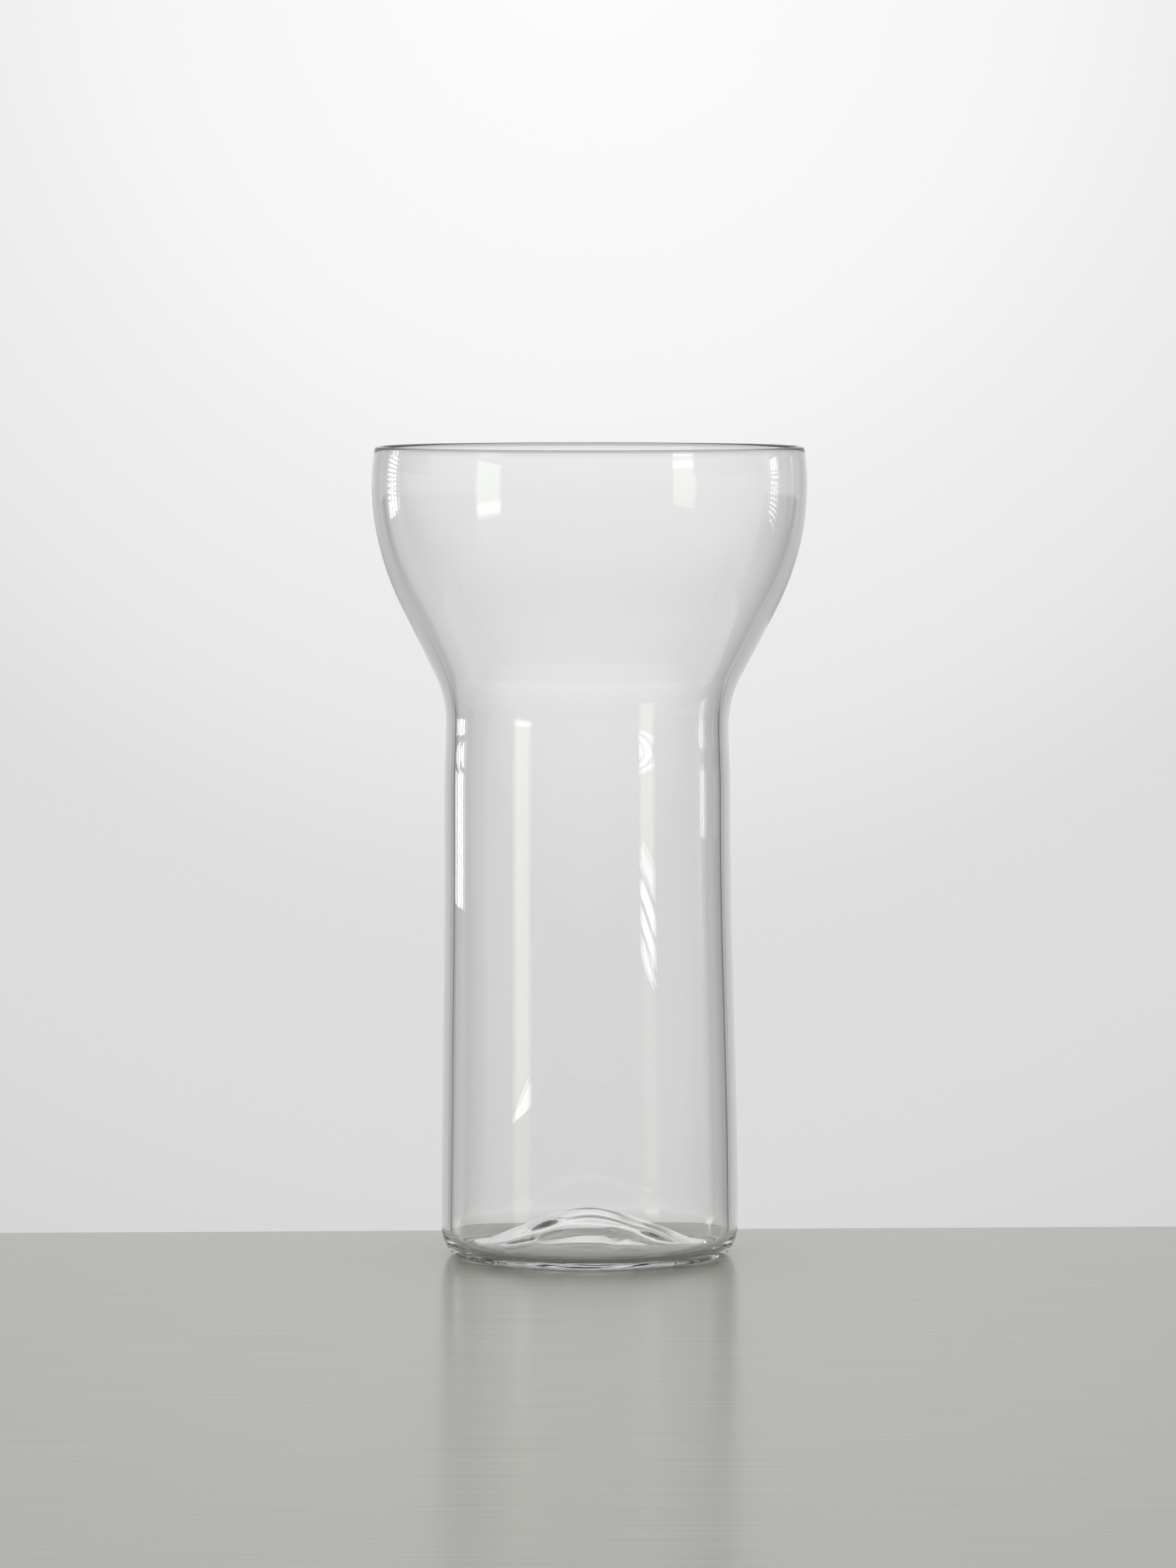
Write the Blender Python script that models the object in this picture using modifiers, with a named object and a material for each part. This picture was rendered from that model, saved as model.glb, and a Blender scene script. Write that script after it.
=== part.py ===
"""A mixing glass: one piece of hand-blown glass, turned about Z, standing on the ring round its pushed-up base."""

import math

import bmesh
import bpy
from mathutils import Vector

# Driving dimensions, in metres. Radii are those of the outer face.
HEIGHT = 0.184
LIP_CURVE = 0.042  # the bowl's side curves in with this radius above its widest height
BOWL_RADIUS = 0.0495
BOWL_WIDEST_HEIGHT = 0.1766
BOWL_CURVE = 0.0647
NECK_RADIUS = 0.0321
NECK_HEIGHT = 0.1212
NECK_CURVE = 0.0237
SHOULDER_SWELL = 0.00042  # the body widens by this much just under the neck
SHOULDER_DROP = 0.0155
FOOT_SWELL = 0.00136  # and by this much more on its way down to the foot
FOOT_SWELL_TOP = 0.1026
HEEL_WIDTH = 0.0038
HEEL_HEIGHT = 0.0073

# Glass thickness
BODY_WALL = 0.0023
RIM_WALL = 0.00155
FLOOR_THICKNESS = 0.0021  # over the ring that the glass stands on
CORNER_WIDTH = 0.0032  # inside, where the wall turns into the floor
CORNER_HEIGHT = 0.0046

# The base is pushed up into a cone with a rounded top
FOOT_RING_WIDTH = 0.0038
KICK_HEIGHT = 0.0076  # underside
KICK_FLOOR_HEIGHT = 0.0104  # inside
KICK_EASE = 0.25  # how far the cone's curve stays near level at its foot and its top, as a share of its radius
KICK_FOOT_LIFT = 0.1  # and how far it has risen by the end of that at its foot, as a share of its height

SIDES = 64
ARC_STEP = math.radians(7)
BEAD_STEPS = 6
BODY_STEPS = 9
KICK_STEPS = 6
CORNER_STEPS = 5


def arc(centre, radius, start, end):
    """(point, direction from the centre) pairs along a circle."""
    steps = max(2, math.ceil(abs(end - start) / ARC_STEP))
    pairs = []
    for i in range(steps + 1):
        a = start + (end - start) * i / steps
        out = Vector((math.cos(a), math.sin(a)))
        pairs.append((centre + radius * out, out))
    return pairs


def bezier(a, b, c, d, steps):
    """Points on a cubic curve."""
    points = []
    for i in range(steps + 1):
        t = i / steps
        s = 1 - t
        points.append(s**3 * a + 3 * s * s * t * b + 3 * s * t * t * c + t**3 * d)
    return points


def smooth(t):
    """Eases from 0 to 1."""
    t = min(max(t, 0.0), 1.0)
    return t * t * (3 - 2 * t)


def wall_at(height):
    """The wall thins evenly from the neck to the bowl's widest part."""
    rise = smooth((height - NECK_HEIGHT) / (BOWL_WIDEST_HEIGHT - NECK_HEIGHT))
    return BODY_WALL + (RIM_WALL - BODY_WALL) * rise


def body_at(height):
    """The outer face below the neck: it swells a little at the shoulder, then slowly down to the foot."""
    shoulder = SHOULDER_SWELL * smooth((NECK_HEIGHT - height) / SHOULDER_DROP)
    foot = FOOT_SWELL * smooth((FOOT_SWELL_TOP - height) / FOOT_SWELL_TOP)
    return Vector((NECK_RADIUS + shoulder + foot, height))


def outer_side():
    """(point, outward normal) pairs down the outer face, from under the rim's bead to the heel."""
    bowl_centre = Vector((BOWL_RADIUS - BOWL_CURVE, BOWL_WIDEST_HEIGHT))
    lip_centre = Vector((BOWL_RADIUS - LIP_CURVE, BOWL_WIDEST_HEIGHT))
    neck_centre = Vector((NECK_RADIUS + NECK_CURVE, NECK_HEIGHT))

    # A straight flare touches the bowl's arc on its outside and the neck's arc on its inside
    across = neck_centre - bowl_centre
    lean = math.asin((BOWL_CURVE + NECK_CURVE) / across.length)
    flare = math.atan2(across.y, across.x) - lean + math.pi / 2

    bead_rise = HEIGHT - RIM_WALL / 2 - BOWL_WIDEST_HEIGHT
    lip_angle = math.asin(bead_rise / (LIP_CURVE - RIM_WALL / 2))

    pairs = arc(lip_centre, LIP_CURVE, lip_angle, 0.0)[:-1]
    pairs += arc(bowl_centre, BOWL_CURVE, 0.0, flare)
    pairs += [(point, -out) for point, out in arc(neck_centre, NECK_CURVE, flare + math.pi, math.pi)]

    # The stations lie closer together at the shoulder, where the body curves most
    for i in range(1, BODY_STEPS + 1):
        drop = (i / BODY_STEPS) ** 1.5
        pairs.append((body_at(NECK_HEIGHT + (HEEL_HEIGHT - NECK_HEIGHT) * drop), Vector((1.0, 0.0))))
    return pairs


def rim_bead(outer_top, inner_top):
    """The fire-polished rim: a half circle from the inner face over to the outer face."""
    centre = (outer_top + inner_top) / 2
    half = (inner_top - outer_top) / 2
    up = Vector((half.y, -half.x))
    points = []
    for i in range(1, BEAD_STEPS):
        a = math.pi * i / BEAD_STEPS
        points.append(centre + math.cos(a) * half + math.sin(a) * up)
    return points


def quarter_ellipse(side, width, height):
    """From its lowest point out and up to its side, both ends included."""
    centre = side - Vector((width, 0.0))
    points = []
    for i in range(CORNER_STEPS + 1):
        a = math.pi / 2 * i / CORNER_STEPS
        points.append(centre + Vector((width * math.sin(a), -height * math.cos(a))))
    return points


def kick(radius, foot_height, top_height):
    """The pushed-up base, from its top on the axis out to its foot."""
    ease = Vector((radius * KICK_EASE, 0.0))
    lift = Vector((0.0, (top_height - foot_height) * KICK_FOOT_LIFT))
    top = Vector((0.0, top_height))
    foot = Vector((radius, foot_height))
    return bezier(top, top + ease, foot - ease + lift, foot, KICK_STEPS)


def profile():
    """Half of the glass's section: up its inside from the axis, over the rim and down its outside back to the axis."""
    side = outer_side()
    outside = [point for point, _ in side]
    inside = [point - normal * wall_at(point.y) for point, normal in side]

    # Inside, the wall goes on down past the heel's top before it turns into the floor
    turn = Vector((inside[-1].x, FLOOR_THICKNESS + CORNER_HEIGHT))
    corner = quarter_ellipse(turn, CORNER_WIDTH, CORNER_HEIGHT)
    floor = kick(corner[0].x, FLOOR_THICKNESS, KICK_FLOOR_HEIGHT)[:-1]

    heel = quarter_ellipse(outside[-1], HEEL_WIDTH, HEEL_HEIGHT)[:-1]
    underside = kick(heel[0].x - FOOT_RING_WIDTH, 0.0, KICK_HEIGHT)

    rising = floor + corner + inside[::-1]
    falling = outside + heel[::-1] + underside[::-1]
    return rising + rim_bead(outside[0], inside[0]) + falling


def glass_material():
    material = bpy.data.materials.new("clear_glass")
    material.use_nodes = True
    shader = material.node_tree.nodes["Principled BSDF"]
    shader.inputs["Base Color"].default_value = (0.96, 0.98, 0.97, 1.0)
    shader.inputs["Metallic"].default_value = 0.0
    shader.inputs["Roughness"].default_value = 0.03
    shader.inputs["IOR"].default_value = 1.5
    shader.inputs["Transmission Weight"].default_value = 1.0
    return material


def turned(name, points, material, collection):
    """A closed body of revolution about Z from a profile that starts and ends on the axis."""
    mesh = bpy.data.meshes.new(name)
    shape = bmesh.new()
    verts = [shape.verts.new((point.x, 0.0, point.y)) for point in points]
    for a, b in zip(verts, verts[1:]):
        shape.edges.new((a, b))
    shape.to_mesh(mesh)
    shape.free()
    mesh.materials.append(material)

    body = bpy.data.objects.new(name, mesh)
    collection.objects.link(body)
    screw = body.modifiers.new("turn", "SCREW")
    screw.axis = "Z"
    screw.angle = math.tau
    screw.steps = SIDES
    screw.render_steps = SIDES
    screw.use_merge_vertices = True
    screw.merge_threshold = 0.00005
    screw.use_smooth_shade = True
    return body


for old in list(bpy.data.objects):
    bpy.data.objects.remove(old)

parts = bpy.data.collections.new("mixing_glass")
bpy.context.scene.collection.children.link(parts)
turned("glass_vessel", profile(), glass_material(), parts)
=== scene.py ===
import math

import bmesh
import bpy
from mathutils import Matrix, Vector, noise


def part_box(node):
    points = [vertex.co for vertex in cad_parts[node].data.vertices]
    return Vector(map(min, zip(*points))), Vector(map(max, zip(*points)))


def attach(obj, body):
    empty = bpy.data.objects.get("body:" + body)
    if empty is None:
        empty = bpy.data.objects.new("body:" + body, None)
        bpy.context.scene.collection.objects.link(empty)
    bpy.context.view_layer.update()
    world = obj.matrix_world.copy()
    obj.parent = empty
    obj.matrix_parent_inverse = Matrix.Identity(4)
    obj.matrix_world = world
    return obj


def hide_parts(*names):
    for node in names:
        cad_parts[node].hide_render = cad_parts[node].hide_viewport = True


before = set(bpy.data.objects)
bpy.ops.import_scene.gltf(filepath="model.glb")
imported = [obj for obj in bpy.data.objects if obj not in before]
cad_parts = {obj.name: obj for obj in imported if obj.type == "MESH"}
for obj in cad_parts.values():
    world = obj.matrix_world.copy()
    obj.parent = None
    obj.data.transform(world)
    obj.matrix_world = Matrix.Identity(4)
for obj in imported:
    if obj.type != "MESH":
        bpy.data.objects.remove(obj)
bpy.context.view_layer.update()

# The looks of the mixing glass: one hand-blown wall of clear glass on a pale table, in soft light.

NODE_LOW, NODE_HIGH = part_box("glass_vessel")

# The turned shape, in metres, as the CAD solid has it. Radii are those of the outer face.
HEIGHT = NODE_HIGH[2]
BOWL_RADIUS = NODE_HIGH[0]
LIP_CURVE = 0.042
BOWL_WIDEST_HEIGHT = 0.1766
BOWL_CURVE = 0.0647
NECK_RADIUS = 0.0321
NECK_HEIGHT = 0.1212
NECK_CURVE = 0.0237
SHOULDER_SWELL = 0.00042
SHOULDER_DROP = 0.0155
FOOT_SWELL = 0.00136
FOOT_SWELL_TOP = 0.1026
HEEL_WIDTH = 0.0038
HEEL_HEIGHT = 0.0073
BODY_WALL = 0.0023
RIM_WALL = 0.00155
FLOOR_THICKNESS = 0.0021
CORNER_WIDTH = 0.0032
CORNER_HEIGHT = 0.0046
FOOT_RING_WIDTH = 0.0038
KICK_HEIGHT = 0.0076
KICK_FLOOR_HEIGHT = 0.0104
KICK_EASE = 0.25
KICK_FOOT_LIFT = 0.1

# How finely the turned shape is cut
SIDES = 224
ARC_STEP = math.radians(1.6)
BEAD_STEPS = 14
FLARE_STEPS = 12
BODY_STEPS = 50
CORNER_STEPS = 14
KICK_STEPS = 64


def smooth(t):
    """Eases from 0 to 1."""
    t = min(max(t, 0.0), 1.0)
    return t * t * (3 - 2 * t)


def arc(centre, radius, start, end):
    """(point, direction from the centre) pairs along a circle."""
    steps = max(2, math.ceil(abs(end - start) / ARC_STEP))
    pairs = []
    for i in range(steps + 1):
        a = start + (end - start) * i / steps
        out = Vector((math.cos(a), math.sin(a)))
        pairs.append((centre + radius * out, out))
    return pairs


def bezier(a, b, c, d, steps):
    """Points on a cubic curve."""
    points = []
    for i in range(steps + 1):
        t = i / steps
        s = 1 - t
        points.append(s**3 * a + 3 * s * s * t * b + 3 * s * t * t * c + t**3 * d)
    return points


def wall_at(height):
    """The wall thins evenly from the neck to the bowl's widest part."""
    rise = smooth((height - NECK_HEIGHT) / (BOWL_WIDEST_HEIGHT - NECK_HEIGHT))
    return BODY_WALL + (RIM_WALL - BODY_WALL) * rise


def body_at(height):
    """The outer face below the neck: it swells a little at the shoulder, then slowly down to the foot."""
    shoulder = SHOULDER_SWELL * smooth((NECK_HEIGHT - height) / SHOULDER_DROP)
    foot = FOOT_SWELL * smooth((FOOT_SWELL_TOP - height) / FOOT_SWELL_TOP)
    return Vector((NECK_RADIUS + shoulder + foot, height))


def outer_side():
    """(point, outward normal) pairs down the outer face, from under the rim's bead to the heel."""
    bowl_centre = Vector((BOWL_RADIUS - BOWL_CURVE, BOWL_WIDEST_HEIGHT))
    lip_centre = Vector((BOWL_RADIUS - LIP_CURVE, BOWL_WIDEST_HEIGHT))
    neck_centre = Vector((NECK_RADIUS + NECK_CURVE, NECK_HEIGHT))

    # A straight flare touches the bowl's arc on its outside and the neck's arc on its inside
    across = neck_centre - bowl_centre
    lean = math.asin((BOWL_CURVE + NECK_CURVE) / across.length)
    flare = math.atan2(across.y, across.x) - lean + math.pi / 2

    bead_rise = HEIGHT - RIM_WALL / 2 - BOWL_WIDEST_HEIGHT
    lip_angle = math.asin(bead_rise / (LIP_CURVE - RIM_WALL / 2))

    pairs = arc(lip_centre, LIP_CURVE, lip_angle, 0.0)[:-1]
    pairs += arc(bowl_centre, BOWL_CURVE, 0.0, flare)
    top = pairs[-1]
    below = [(point, -out) for point, out in arc(neck_centre, NECK_CURVE, flare + math.pi, math.pi)]
    for i in range(1, FLARE_STEPS):
        pairs.append((top[0].lerp(below[0][0], i / FLARE_STEPS), top[1]))
    pairs += below

    for i in range(1, BODY_STEPS + 1):
        drop = (HEEL_HEIGHT - NECK_HEIGHT) * i / BODY_STEPS
        pairs.append((body_at(NECK_HEIGHT + drop), Vector((1.0, 0.0))))
    return pairs


def rim_bead(outer_top, inner_top):
    """The fire-polished rim: a half circle from the inner face over to the outer face."""
    centre = (outer_top + inner_top) / 2
    half = (inner_top - outer_top) / 2
    up = Vector((half.y, -half.x))
    points = []
    for i in range(1, BEAD_STEPS):
        a = math.pi * i / BEAD_STEPS
        points.append(centre + math.cos(a) * half + math.sin(a) * up)
    return points


def quarter_ellipse(side, width, height):
    """From its lowest point out and up to its side, both ends included."""
    centre = side - Vector((width, 0.0))
    points = []
    for i in range(CORNER_STEPS + 1):
        a = math.pi / 2 * i / CORNER_STEPS
        points.append(centre + Vector((width * math.sin(a), -height * math.cos(a))))
    return points


def kick(radius, foot_height, top_height):
    """The pushed-up base, from its top on the axis out to its foot."""
    ease = Vector((radius * KICK_EASE, 0.0))
    lift = Vector((0.0, (top_height - foot_height) * KICK_FOOT_LIFT))
    top = Vector((0.0, top_height))
    foot = Vector((radius, foot_height))
    return bezier(top, top + ease, foot - ease + lift, foot, KICK_STEPS)


def profile():
    """(point, face) pairs: up the inside from the axis, over the rim and down the outside to the axis."""
    side = outer_side()
    outside = [point for point, _ in side]
    inside = [point - normal * wall_at(point.y) for point, normal in side]

    turn = Vector((inside[-1].x, FLOOR_THICKNESS + CORNER_HEIGHT))
    corner = quarter_ellipse(turn, CORNER_WIDTH, CORNER_HEIGHT)
    floor = kick(corner[0].x, FLOOR_THICKNESS, KICK_FLOOR_HEIGHT)[:-1]

    heel = quarter_ellipse(outside[-1], HEEL_WIDTH, HEEL_HEIGHT)[:-1]
    underside = kick(heel[0].x - FOOT_RING_WIDTH, 0.0, KICK_HEIGHT)

    faces = [("floor", floor), ("inside", corner + inside[::-1])]
    faces += [("rim", rim_bead(outside[0], inside[0])), ("outside", outside + heel[::-1])]
    faces.append(("underside", underside[::-1]))
    return [(point, face) for face, points in faces for point in points]


def glass_mesh(name):
    """The turned shape with every ring bent, waved and rippled as hand-blown glass is."""
    shape = bmesh.new()
    rings = []
    for point, face in profile():
        if point.x < 1e-7:
            rings.append([shape.verts.new(worked(0.0, 0.0, point.y, face))])
            continue
        ring = []
        for i in range(SIDES):
            a = math.tau * i / SIDES
            ring.append(shape.verts.new(worked(point.x, a, point.y, face)))
        rings.append(ring)
    for lower, upper in zip(rings, rings[1:]):
        for i in range(SIDES):
            j = (i + 1) % SIDES
            if len(lower) == 1:
                shape.faces.new((lower[0], upper[i], upper[j]))
            elif len(upper) == 1:
                shape.faces.new((lower[j], lower[i], upper[0]))
            else:
                shape.faces.new((lower[j], lower[i], upper[i], upper[j]))
    bmesh.ops.recalc_face_normals(shape, faces=shape.faces)
    mesh = bpy.data.meshes.new(name)
    shape.to_mesh(mesh)
    shape.free()
    mesh.shade_smooth()
    return mesh


# What the hand and the blowpipe left, in metres. X runs to the camera's right and Y away from it.
NECK_SHIFT = 0.00053  # the neck stands this much to the left
BOWL_DRAW = 0.0002  # the bowl draws in this much towards the rim
WAVE = 0.000014  # how far the wall wanders in and out
FLOOR_LUMP = 0.0004
UNDER_LUMP = 0.00018

# Humps on the floor: x, y, half width along x, half width along y, height
HUMPS = [
    (-0.0100, -0.0070, 0.0030, 0.0016, 0.00085),
    (-0.0160, -0.0125, 0.0026, 0.0014, 0.00050),
    (0.0030, -0.0160, 0.0090, 0.0022, 0.00045),
    (0.0020, -0.0085, 0.0070, 0.0016, 0.00042),
    (0.0145, -0.0095, 0.0030, 0.0016, 0.00065),
]

# A faint raised ring where the pontil was turned: x, y, radius, half width, height
SWIRL = (0.0058, -0.0150, 0.0026, 0.0010, 0.00010)


def bump(value, middle, width):
    """1 at the middle, easing to 0 a width away on both sides."""
    return smooth(1 - abs(value - middle) / width)


def floor_relief(x, y):
    """How far the inside of the pushed-up base stands off its true curve."""
    radius = math.hypot(x, y)
    lumps = FLOOR_LUMP * noise.noise(Vector((x * 85, y * 85, 2.3)))
    relief = lumps * smooth((0.026 - radius) / 0.012)
    for hump_x, hump_y, width, length, height in HUMPS:
        across = (x - hump_x) / width
        along = (y - hump_y) / length
        relief += height * math.exp(-(across**2) - along**2)
    ring_x, ring_y, ring_radius, width, height = SWIRL
    from_ring = math.hypot(x - ring_x, (y - ring_y) * 0.8)
    return relief + height * bump(from_ring, ring_radius, width)


def underside_relief(x, y):
    """The same for the underside."""
    lumps = UNDER_LUMP * noise.noise(Vector((x * 120, y * 120, 5.1)))
    return lumps * smooth((0.0255 - math.hypot(x, y)) / 0.008)


def worked(radius, angle, height, face):
    """Where a point of the true turned shape ends up on the hand-made one."""
    out = Vector((math.cos(angle), math.sin(angle), 0.0))

    # Each face takes its own slice of the noise; the wave is calm at the foot and nearly so at the rim
    layer = 11.0 if face in ("outside", "underside") else 4.0
    if face == "rim":
        layer = 7.5
    place = Vector((out.x * 1.6, out.y * 1.6, height * 42 + layer))
    calm = smooth(height / 0.012) * (1 - 0.8 * smooth((height - 0.176) / 0.006))
    wave = WAVE * noise.noise(place) * calm * min(1.0, radius / 0.02)
    draw = BOWL_DRAW * smooth((height - 0.167) / 0.017)
    point = out * (radius + wave - draw)

    # The lean grows up the body and is gone again above the neck
    lean = smooth((height - 0.02) / 0.085) * (1 - smooth((height - 0.118) / 0.027))
    point.x -= NECK_SHIFT * lean
    point.z = height
    if face == "floor":
        point.z += floor_relief(point.x, point.y)
    if face == "underside":
        point.z += underside_relief(point.x, point.y)
    return point


# The glass
glass = bpy.data.objects.new("blown_glass", glass_mesh("blown_glass"))
bpy.context.scene.collection.objects.link(glass)


def glass_material():
    material = bpy.data.materials.new("clear_blown_glass")
    material.use_nodes = True
    shader = material.node_tree.nodes["Principled BSDF"]
    shader.inputs["Base Color"].default_value = (0.992, 0.995, 0.991, 1.0)
    shader.inputs["Roughness"].default_value = 0.0
    shader.inputs["IOR"].default_value = 1.5
    shader.inputs["Transmission Weight"].default_value = 1.0
    return material


glass.data.materials.append(glass_material())
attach(glass, "root")
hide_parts("glass_vessel")

# Where the eye is, in metres from the foot of the glass
EYE_DISTANCE = 1.586
EYE_HEIGHT = 0.2141
EYE_TILT = math.radians(3.854)
EYE_SIDE = -0.00035
LENS = 160.5
SENSOR = 36.0

camera = bpy.data.objects.new("camera", bpy.data.cameras.new("camera"))
camera.data.sensor_width = SENSOR
camera.data.lens = LENS
camera.location = (EYE_SIDE, -EYE_DISTANCE, EYE_HEIGHT)
camera.rotation_euler = (math.pi / 2 - EYE_TILT, 0.0, 0.0)
bpy.context.scene.collection.objects.link(camera)
bpy.context.scene.camera = camera

# The table
TABLE_BACK = 0.041
TABLE_FRONT = -0.62
TABLE_HALF_WIDTH = 0.35
TABLE_THICKNESS = 0.03
TABLE_GAP = 0.00006  # so that the glass's flat ring and the table's top don't share a plane
TABLE_TURN = math.radians(2.4)
TABLE_DARK = (0.314, 0.312, 0.270)
TABLE_PALE = (0.352, 0.350, 0.303)


def table_material():
    """Pale grey with a faint grain along it."""
    material = bpy.data.materials.new("table_top")
    material.use_nodes = True
    tree = material.node_tree
    shader = tree.nodes["Principled BSDF"]
    shader.inputs["Roughness"].default_value = 0.20
    place = tree.nodes.new("ShaderNodeTexCoord")

    stretch = tree.nodes.new("ShaderNodeMapping")
    stretch.inputs["Scale"].default_value = (25.0, 700.0, 1.0)
    tree.links.new(place.outputs["Object"], stretch.inputs["Vector"])
    grain = tree.nodes.new("ShaderNodeTexNoise")
    grain.inputs["Scale"].default_value = 1.0
    grain.inputs["Detail"].default_value = 3.0
    tree.links.new(stretch.outputs[0], grain.inputs["Vector"])
    tint = tree.nodes.new("ShaderNodeValToRGB")
    tint.color_ramp.elements[0].position = 0.3
    tint.color_ramp.elements[0].color = (*TABLE_DARK, 1.0)
    tint.color_ramp.elements[1].position = 0.7
    tint.color_ramp.elements[1].color = (*TABLE_PALE, 1.0)
    tree.links.new(grain.outputs[0], tint.inputs[0])
    tree.links.new(tint.outputs[0], shader.inputs["Base Color"])
    return material


shape = bmesh.new()
bmesh.ops.create_cube(shape, size=1.0)
size = Vector((2 * TABLE_HALF_WIDTH, TABLE_BACK - TABLE_FRONT, TABLE_THICKNESS))
middle = Vector((0.0, (TABLE_BACK + TABLE_FRONT) / 2, -TABLE_GAP - TABLE_THICKNESS / 2))
bmesh.ops.transform(shape, matrix=Matrix.LocRotScale(middle, None, size), verts=shape.verts)
bmesh.ops.bevel(shape, geom=shape.edges[:], offset=0.0008, segments=3, affect="EDGES")
bmesh.ops.rotate(shape, matrix=Matrix.Rotation(TABLE_TURN, 3, "Z"), verts=shape.verts)
mesh = bpy.data.meshes.new("table")
shape.to_mesh(mesh)
shape.free()
table = bpy.data.objects.new("table", mesh)
table.data.materials.append(table_material())
bpy.context.scene.collection.objects.link(table)

# The room, as brightness by direction: a spot of light on the wall behind the glass, and grey elsewhere
SPOT_ELEVATION = math.radians(3.0)
SPOT_STOPS = [
    (0, 0.53), (3.7, 0.465), (4.9, 0.41), (6.5, 0.36), (8, 0.278), (10, 0.262), (11.5, 0.22),
    (14, 0.17), (20, 0.08), (32, 0.04), (45, 0.0),
]
ROOM_STOPS = [(-90, 0.45), (8, 0.45), (30, 0.82), (90, 0.94)]

world = bpy.data.worlds.new("room")
world.use_nodes = True
bpy.context.scene.world = world
nodes, links = world.node_tree.nodes, world.node_tree.links
nodes.clear()
output = nodes.new("ShaderNodeOutputWorld")
background = nodes.new("ShaderNodeBackground")
links.new(background.outputs[0], output.inputs[0])
coords = nodes.new("ShaderNodeTexCoord")
split = nodes.new("ShaderNodeSeparateXYZ")
links.new(coords.outputs["Generated"], split.inputs[0])


def maths(operation, a, b=None):
    node = nodes.new("ShaderNodeMath")
    node.operation = operation
    for socket, value in zip(node.inputs, (a, b)):
        if isinstance(value, (int, float)):
            socket.default_value = value
        elif value is not None:
            links.new(value, socket)
    return node.outputs[0]


def ramp(degrees, stops):
    """Grey levels by angle, from (degrees, level) stops."""
    low, high = stops[0][0], stops[-1][0]
    spread = nodes.new("ShaderNodeMapRange")
    links.new(degrees, spread.inputs["Value"])
    spread.inputs["From Min"].default_value = low
    spread.inputs["From Max"].default_value = high
    node = nodes.new("ShaderNodeValToRGB")
    links.new(spread.outputs[0], node.inputs[0])
    elements = node.color_ramp.elements
    while len(elements) < len(stops):
        elements.new(0.5)
    for element, (place, level) in zip(elements, stops):
        element.position = (place - low) / (high - low)
        element.color = (level, level, level, 1.0)
    return node.outputs[0]


along_y = maths("MULTIPLY", split.outputs[1], math.cos(SPOT_ELEVATION))
along_z = maths("MULTIPLY", split.outputs[2], math.sin(SPOT_ELEVATION))
nearness = maths("MINIMUM", maths("ADD", along_y, along_z), 1.0)
from_spot = maths("MULTIPLY", maths("ARCCOSINE", nearness), 180 / math.pi)
elevation = maths("MULTIPLY", maths("ARCSINE", split.outputs[2]), 180 / math.pi)
level = maths("ADD", ramp(from_spot, SPOT_STOPS), ramp(elevation, ROOM_STOPS))
links.new(level, background.inputs["Color"])

# What stands round the glass out of the camera's sight: dark things close by, and two windows far off.
# Each is part of an upright band round the foot of the glass. Azimuth 0 is behind it and 90 is to its right.


def emission(name, colour, strength):
    material = bpy.data.materials.new(name)
    material.use_nodes = True
    tree = material.node_tree
    tree.nodes.clear()
    shader = tree.nodes.new("ShaderNodeEmission")
    shader.inputs["Color"].default_value = (*colour, 1.0)
    shader.inputs["Strength"].default_value = strength
    target = tree.nodes.new("ShaderNodeOutputMaterial")
    tree.links.new(shader.outputs[0], target.inputs[0])
    return material


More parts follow.
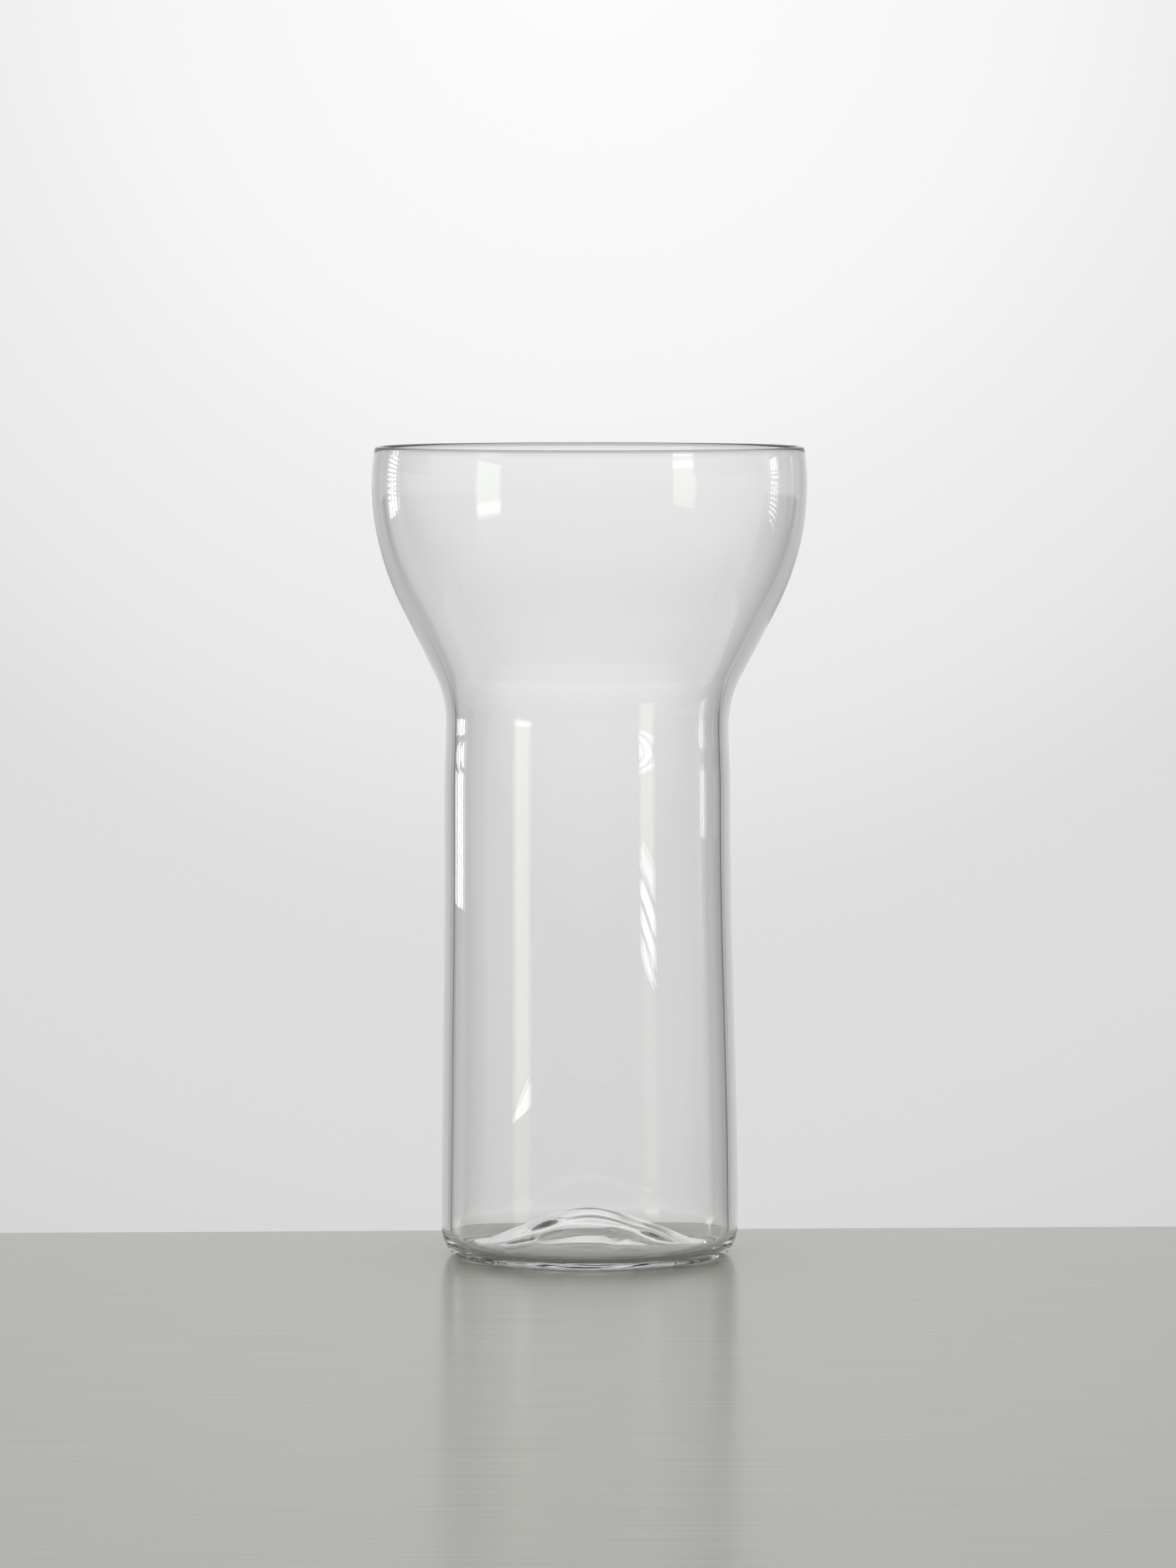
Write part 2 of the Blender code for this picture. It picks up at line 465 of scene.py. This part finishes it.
def band(name, azimuths, distances, heights, material):
    """An upright strip that only the glass sees."""
    low, high = heights
    steps = max(1, round(abs(azimuths[1] - azimuths[0]) / 4))
    shape = bmesh.new()
    columns = []
    for i in range(steps + 1):
        t = i / steps
        a = math.radians(azimuths[0] + (azimuths[1] - azimuths[0]) * t)
        reach = distances[0] + (distances[1] - distances[0]) * t
        x, y = reach * math.sin(a), reach * math.cos(a)
        columns.append([shape.verts.new((x, y, z)) for z in (low, high)])
    for left, right in zip(columns, columns[1:]):
        shape.faces.new((left[0], right[0], right[1], left[1]))
    mesh = bpy.data.meshes.new(name)
    shape.to_mesh(mesh)
    shape.free()
    strip = bpy.data.objects.new(name, mesh)
    strip.data.materials.append(material)
    bpy.context.scene.collection.objects.link(strip)
    strip.visible_camera = False
    strip.visible_diffuse = False
    strip.visible_shadow = False
    return strip


DARK_REACH = (0.75, 0.75)
DARK_HEIGHTS = (-0.30, 0.13)
dark = emission("dark_thing", (0.10, 0.10, 0.097), 1.0)
dim = emission("dim_thing", (0.22, 0.22, 0.215), 1.0)
band("dark_right", (38, 76), DARK_REACH, DARK_HEIGHTS, dark)
band("dim_left", (-118, -64), DARK_REACH, DARK_HEIGHTS, dim)
band("dark_left", (-45, -38), DARK_REACH, DARK_HEIGHTS, dark)

# The window behind the left shoulder of the camera: a pale green view over a bright sill and slats
BACK_WINDOW = (-132, -118)
BACK_REACH = (3.4, 2.95)
garden = emission("garden_light", (0.92, 1.0, 0.80), 2.0)
sill = emission("sill_light", (1.0, 1.0, 0.98), 4.5)
band("garden", BACK_WINDOW, BACK_REACH, (-0.225, 0.78), garden)
band("sill", BACK_WINDOW, BACK_REACH, (-0.27, -0.227), sill)
for i in range(7):
    top = -0.285 - 0.04 * i
    slat = emission("slat_light_%d" % i, (1.0, 1.0, 0.98), 6.5 - 0.7 * i)
    band("slat_%d" % i, BACK_WINDOW, BACK_REACH, (top - 0.028, top), slat)

# The window to the left, half behind the glass: narrow panes, bright low down and blinds above
SIDE_REACH = (1.85, 1.85)
PANES = [((-58, -56.6), 2.0), ((-55, -52.4), 5.0), ((-51.4, -49), 4.0), ((-48.4, -47), 3.0)]
for i, (azimuths, strength) in enumerate(PANES):
    light = emission("pane_light_%d" % i, (1.0, 1.0, 0.98), strength)
    band("pane_%d" % i, azimuths, SIDE_REACH, (-0.065, 0.042), light)
    for j in range(9):
        low = 0.052 + 0.036 * j
        band("blind_%d_%d" % (i, j), azimuths, SIDE_REACH, (low, low + 0.022), light)

bpy.context.scene.view_settings.view_transform = "Standard"

# Light caught inside the wall takes many turns to get out
bpy.context.scene.cycles.max_bounces = 24
bpy.context.scene.cycles.transmission_bounces = 24
bpy.context.scene.cycles.glossy_bounces = 24
